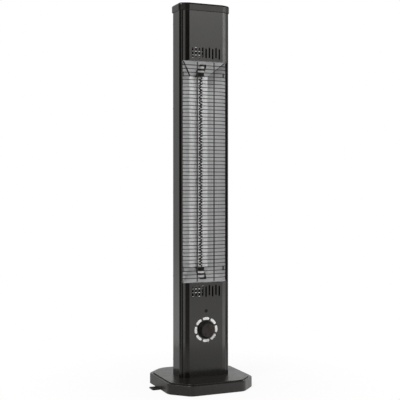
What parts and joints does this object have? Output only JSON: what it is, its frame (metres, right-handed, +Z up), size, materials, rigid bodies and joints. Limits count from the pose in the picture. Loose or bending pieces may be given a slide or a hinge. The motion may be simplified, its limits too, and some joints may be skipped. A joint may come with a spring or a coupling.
{
  "type": "outdoor heater",
  "caption": "Standing outdoor heater: octagonal base, slim black column, wire guard over a trough reflector with an upright quartz element, control knob below.",
  "frame": {"origin": "on the floor under the middle of the base", "axes": "+Z up, -Y towards the front with the knob and the guard, +X to the right seen from the front"},
  "size_m": [0.2583, 0.2332, 1.0002],
  "materials": {
    "body_paint": "satin black paint",
    "base_paint": "satin black paint",
    "plate_steel": "black coated steel plate",
    "reflector": "bright rolled aluminium",
    "guard": "black wire",
    "quartz": "clear quartz",
    "filament": "dark filament",
    "ceramic": "glazed white ceramic",
    "dark_steel": "blackened steel",
    "zinc_steel": "zinc plated steel",
    "black_screw": "black screws",
    "knob": "black moulded knob",
    "marks": "white printed marks",
    "lens": "dark lamp lens",
    "black_plastic": "black moulding",
    "pale_plastic": "pale moulding",
    "pads": "rubber",
    "lead": "silicone insulation",
    "spring": "spring steel"
  },
  "bodies": {
    "stand": {"base_cover": "base_paint", "base_plate": "plate_steel", "foot_pads": "pads", "cover_screws": "zinc_steel", "fixing_lug": "plate_steel", "lug_screws": "zinc_steel", "column_foot": "zinc_steel", "column_bolts": "zinc_steel", "column_nuts": "zinc_steel", "tilt_housing": "black_plastic", "plunger_spring": "spring", "microswitch": "black_plastic", "side_profile_right": "body_paint", "side_profile_left": "body_paint", "rear_panel": "body_paint", "rear_screws": "black_screw", "upper_front_panel": "body_paint", "lower_front_panel": "body_paint", "top_cap": "body_paint", "cap_screws": "black_screw", "reflector_trough": "reflector", "reflector_end_upper": "reflector", "reflector_end_lower": "reflector", "quartz_tube": "quartz", "heating_filament": "filament", "filament_plug_upper": "dark_steel", "filament_plug_lower": "dark_steel", "end_sleeve_upper": "dark_steel", "end_sleeve_lower": "dark_steel", "ceramic_end_upper": "ceramic", "ceramic_end_lower": "ceramic", "ceramic_band_upper": "dark_steel", "ceramic_band_lower": "dark_steel", "end_bracket_upper": "zinc_steel", "end_bracket_lower": "zinc_steel", "thermal_cutout": "zinc_steel", "guard_wires": "guard", "guard_uprights": "guard", "guard_rail_right": "guard", "guard_rail_left": "guard", "regulator_body": "pale_plastic", "bushing_nut": "zinc_steel", "dial_marks": "marks", "lamp_lens": "lens", "lamp_holder": "black_plastic", "cable_gland": "black_plastic", "gland_nut": "black_plastic", "terminal_block": "pale_plastic", "lead_upper": "lead", "lead_lower": "lead", "regulator_leads": "lead", "lamp_lead": "lead", "tilt_lead": "lead"},
    "knob": {"control_knob": "knob", "control_shaft": "zinc_steel"},
    "plunger": {"tilt_plunger": "black_plastic"}
  },
  "joints": [
    {"name": "knob_turn", "type": "hinge", "parent": "stand", "child": "knob", "pos_m": [0, -0.0376, 0.1514], "axis": [0, 1, 0], "range_deg": [0, 315]},
    {"name": "plunger_slide", "type": "slide", "parent": "stand", "child": "plunger", "axis": [0, 0, -1], "range_m": [0, 0.0045], "stiffness_N_per_m": 150, "springref_m": 0.012, "deforming": ["plunger_spring"]}
  ]
}
